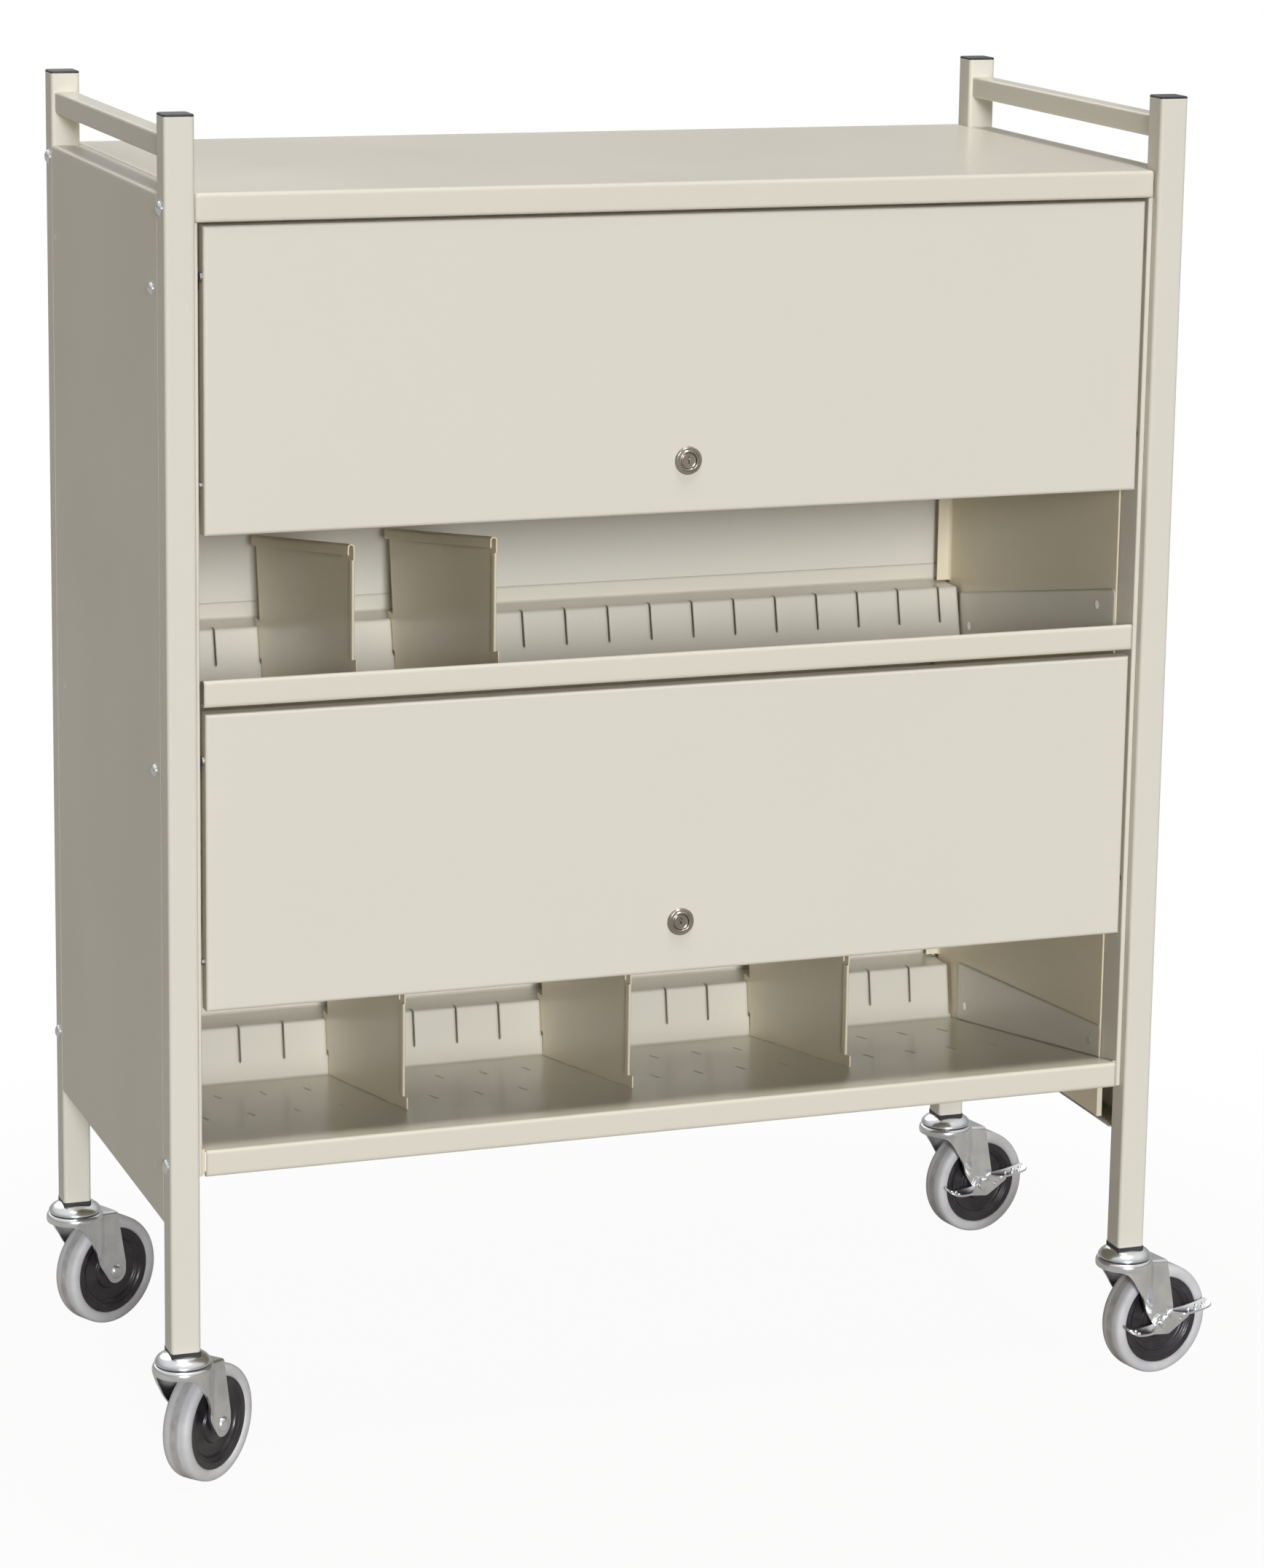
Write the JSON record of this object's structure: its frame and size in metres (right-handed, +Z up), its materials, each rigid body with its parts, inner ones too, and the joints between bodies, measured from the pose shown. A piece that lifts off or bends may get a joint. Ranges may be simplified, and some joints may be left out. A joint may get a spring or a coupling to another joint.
{
  "type": "medical chart rack",
  "caption": "Rolling steel chart rack: square-tube frame on four casters, flat top between handrails, two sloping file shelves with lift-out dividers, locking flip-up door over each",
  "frame": {"origin": "on the floor under the middle of the whole rack's box, casters as they trail in the rest pose; the cabinet's own middle is 31.5 mm to the left and 9.5 mm to the front of it", "axes": "X across the doors to the right, Y from the door side to the back, Z up"},
  "size_m": [0.9871, 0.4855, 1.1626],
  "materials": {
    "cream_powder_coat": "satin cream powder coat on sheet and tube steel",
    "black_plastic": "black moulded polyethylene",
    "bright_zinc": "bright zinc plate on pressed steel",
    "track_steel": "plain bright steel",
    "lock_nickel": "satin nickel plate",
    "hub_black": "black moulded polyolefin",
    "grey_tread": "non-marking light grey rubber, softly worn"
  },
  "bodies": {
    "rack_frame": {"post_front_left": "cream_powder_coat", "post_front_right": "cream_powder_coat", "post_rear_left": "cream_powder_coat", "post_rear_right": "cream_powder_coat", "handrail_left": "cream_powder_coat", "handrail_right": "cream_powder_coat", "post_caps": "black_plastic", "caster_boots": "black_plastic", "top_tray": "cream_powder_coat", "side_panel_left": "cream_powder_coat", "side_panel_right": "cream_powder_coat", "front_stile_left": "cream_powder_coat", "front_stile_right": "cream_powder_coat", "upper_tracks": "track_steel", "lower_tracks": "track_steel", "mid_shelf": "cream_powder_coat", "bottom_shelf": "cream_powder_coat", "liner_left": "cream_powder_coat", "liner_right": "cream_powder_coat", "back_panel": "cream_powder_coat", "outer_bolts": "bright_zinc", "track_bolts": "bright_zinc", "shelf_screws": "bright_zinc", "caster_stems": "bright_zinc"},
    "upper_carriage": {"upper_carriage": "track_steel"},
    "upper_door": {"upper_door": "cream_powder_coat", "upper_lock_housing": "lock_nickel"},
    "upper_lock_plug": {"upper_lock_plug": "lock_nickel"},
    "upper_lock_rod_left": {"upper_lock_rod_left": "track_steel"},
    "upper_lock_rod_right": {"upper_lock_rod_right": "track_steel"},
    "lower_carriage": {"lower_carriage": "track_steel"},
    "lower_door": {"lower_door": "cream_powder_coat", "lower_lock_housing": "lock_nickel"},
    "lower_lock_plug": {"lower_lock_plug": "lock_nickel"},
    "lower_lock_rod_left": {"lower_lock_rod_left": "track_steel"},
    "lower_lock_rod_right": {"lower_lock_rod_right": "track_steel"},
    "mid_divider_1": {"mid_divider_1": "cream_powder_coat"},
    "mid_divider_2": {"mid_divider_2": "cream_powder_coat"},
    "bottom_divider_1": {"bottom_divider_1": "cream_powder_coat"},
    "bottom_divider_2": {"bottom_divider_2": "cream_powder_coat"},
    "bottom_divider_3": {"bottom_divider_3": "cream_powder_coat"},
    "caster_front_left": {"caster_fork_front_left": "bright_zinc", "caster_axle_front_left": "bright_zinc"},
    "wheel_front_left": {"caster_hub_front_left": "hub_black", "caster_tread_front_left": "grey_tread"},
    "caster_front_right": {"caster_fork_front_right": "bright_zinc", "caster_axle_front_right": "bright_zinc"},
    "wheel_front_right": {"caster_hub_front_right": "hub_black", "caster_tread_front_right": "grey_tread"},
    "brake_front_right": {"brake_pedal_front_right": "bright_zinc"},
    "caster_rear_left": {"caster_fork_rear_left": "bright_zinc", "caster_axle_rear_left": "bright_zinc"},
    "wheel_rear_left": {"caster_hub_rear_left": "hub_black", "caster_tread_rear_left": "grey_tread"},
    "caster_rear_right": {"caster_fork_rear_right": "bright_zinc", "caster_axle_rear_right": "bright_zinc"},
    "wheel_rear_right": {"caster_hub_rear_right": "hub_black", "caster_tread_rear_right": "grey_tread"},
    "brake_rear_right": {"brake_pedal_rear_right": "bright_zinc"}
  },
  "joints": [
    {"name": "upper_door_slide", "type": "slide", "parent": "rack_frame", "child": "upper_carriage", "axis": [0, 1, 0], "range_m": [0, 0.143]},
    {"name": "upper_door_swing", "type": "hinge", "parent": "upper_carriage", "child": "upper_door", "pos_m": [-0.0315, -0.2095, 1.031], "axis": [-1, 0, 0], "range_deg": [0, 90]},
    {"name": "upper_lock_turn", "type": "hinge", "parent": "upper_door", "child": "upper_lock_plug", "pos_m": [-0.0315, -0.2145, 0.8649], "axis": [0, -1, 0], "range_deg": [-90, 0]},
    {"name": "upper_lock_rod_left_slide", "type": "slide", "parent": "upper_door", "child": "upper_lock_rod_left", "axis": [-1, 0, 0], "range_m": [0, 0.0113]},
    {"name": "upper_lock_rod_right_slide", "type": "slide", "parent": "upper_door", "child": "upper_lock_rod_right", "axis": [1, 0, 0], "range_m": [0, 0.0113]},
    {"name": "lower_door_slide", "type": "slide", "parent": "rack_frame", "child": "lower_carriage", "axis": [0, 1, 0], "range_m": [0, 0.143]},
    {"name": "lower_door_swing", "type": "hinge", "parent": "lower_carriage", "child": "lower_door", "pos_m": [-0.0315, -0.2095, 0.6322], "axis": [-1, 0, 0], "range_deg": [0, 90]},
    {"name": "lower_lock_turn", "type": "hinge", "parent": "lower_door", "child": "lower_lock_plug", "pos_m": [-0.0315, -0.2145, 0.4649], "axis": [0, -1, 0], "range_deg": [-90, 0]},
    {"name": "lower_lock_rod_left_slide", "type": "slide", "parent": "lower_door", "child": "lower_lock_rod_left", "axis": [-1, 0, 0], "range_m": [0, 0.0113]},
    {"name": "lower_lock_rod_right_slide", "type": "slide", "parent": "lower_door", "child": "lower_lock_rod_right", "axis": [1, 0, 0], "range_m": [0, 0.0113]},
    {"name": "mid_divider_1_lift", "type": "slide", "parent": "rack_frame", "child": "mid_divider_1", "axis": [0, 0.2387, 0.9711], "range_m": [0, 0.04]},
    {"name": "mid_divider_2_lift", "type": "slide", "parent": "rack_frame", "child": "mid_divider_2", "axis": [0, 0.2387, 0.9711], "range_m": [0, 0.04]},
    {"name": "bottom_divider_1_lift", "type": "slide", "parent": "rack_frame", "child": "bottom_divider_1", "axis": [0, 0.1693, 0.9856], "range_m": [0, 0.04]},
    {"name": "bottom_divider_2_lift", "type": "slide", "parent": "rack_frame", "child": "bottom_divider_2", "axis": [0, 0.1693, 0.9856], "range_m": [0, 0.04]},
    {"name": "bottom_divider_3_lift", "type": "slide", "parent": "rack_frame", "child": "bottom_divider_3", "axis": [0, 0.1693, 0.9856], "range_m": [0, 0.04]},
    {"name": "caster_swivel_front_left", "type": "hinge", "parent": "rack_frame", "child": "caster_front_left", "pos_m": [-0.4688, -0.2118, 0.127], "axis": [0, 0, 1], "continuous": true},
    {"name": "wheel_spin_front_left", "type": "hinge", "parent": "caster_front_left", "child": "wheel_front_left", "pos_m": [-0.44159, -0.18823, 0.0508], "axis": [-0.6547, 0.7559, 0], "continuous": true},
    {"name": "caster_swivel_front_right", "type": "hinge", "parent": "rack_frame", "child": "caster_front_right", "pos_m": [0.4058, -0.2118, 0.127], "axis": [0, 0, 1], "continuous": true},
    {"name": "wheel_spin_front_right", "type": "hinge", "parent": "caster_front_right", "child": "wheel_front_right", "pos_m": [0.44096, -0.20407, 0.0508], "axis": [-0.2147, 0.9767, 0], "continuous": true},
    {"name": "brake_press_front_right", "type": "hinge", "parent": "caster_front_right", "child": "brake_front_right", "pos_m": [0.44096, -0.20407, 0.0508], "axis": [-0.2147, 0.9767, 0], "range_deg": [0, 12]},
    {"name": "caster_swivel_rear_left", "type": "hinge", "parent": "rack_frame", "child": "caster_rear_left", "pos_m": [-0.4688, 0.1928, 0.127], "axis": [0, 0, 1], "continuous": true},
    {"name": "wheel_spin_rear_left", "type": "hinge", "parent": "caster_rear_left", "child": "wheel_rear_left", "pos_m": [-0.43678, 0.20926, 0.0508], "axis": [-0.4571, 0.8894, 0], "continuous": true},
    {"name": "caster_swivel_rear_right", "type": "hinge", "parent": "rack_frame", "child": "caster_rear_right", "pos_m": [0.4058, 0.1928, 0.127], "axis": [0, 0, 1], "continuous": true},
    {"name": "wheel_spin_rear_right", "type": "hinge", "parent": "caster_rear_right", "child": "wheel_rear_right", "pos_m": [0.441, 0.20035, 0.0508], "axis": [-0.2096, 0.9778, 0], "continuous": true},
    {"name": "brake_press_rear_right", "type": "hinge", "parent": "caster_rear_right", "child": "brake_rear_right", "pos_m": [0.441, 0.20035, 0.0508], "axis": [-0.2096, 0.9778, 0], "range_deg": [0, 12]}
  ],
  "couplings": [
    {"joint": "upper_door_slide", "follows": "upper_door_swing", "m_per_rad": 0.091036},
    {"joint": "upper_lock_turn", "follows": "upper_lock_rod_right_slide", "rad_per_m": -138.9},
    {"joint": "upper_lock_rod_left_slide", "follows": "upper_lock_rod_right_slide", "ratio": 1},
    {"joint": "lower_door_slide", "follows": "lower_door_swing", "m_per_rad": 0.091036},
    {"joint": "lower_lock_turn", "follows": "lower_lock_rod_right_slide", "rad_per_m": -138.9},
    {"joint": "lower_lock_rod_left_slide", "follows": "lower_lock_rod_right_slide", "ratio": 1}
  ]
}
